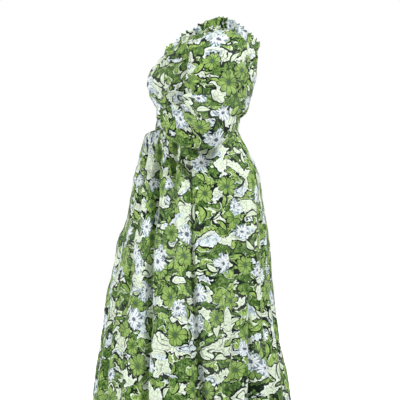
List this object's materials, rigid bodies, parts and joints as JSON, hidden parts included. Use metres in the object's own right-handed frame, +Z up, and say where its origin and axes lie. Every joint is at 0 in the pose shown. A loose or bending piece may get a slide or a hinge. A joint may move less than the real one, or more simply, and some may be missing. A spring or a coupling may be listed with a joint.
{
  "type": "off-shoulder ankara maxi dress",
  "caption": "Long off-shoulder dress with a frilled elastic neckline, gathered sleeves, a fitted band at the waist and a full gathered skirt, held open as worn.",
  "frame": {"origin": "middle of the neckline opening, halfway up the frill at the shoulders, where the wearer's shoulders hold the dress up", "axes": "+Z up along the dress, -Y towards its front, +X towards the wearer's left"},
  "size_m": [0.7287, 0.65, 1.2831],
  "materials": {
    "wax_print": "matte printed cotton"
  },
  "bodies": {
    "root": {"bodice_front": "wax_print", "bodice_back": "wax_print", "left_sleeve": "wax_print", "right_sleeve": "wax_print", "left_cuff_frill": "wax_print", "right_cuff_frill": "wax_print", "neck_frill": "wax_print", "waistband": "wax_print", "skirt_front": "wax_print", "skirt_back": "wax_print"}
  },
  "joints": []
}
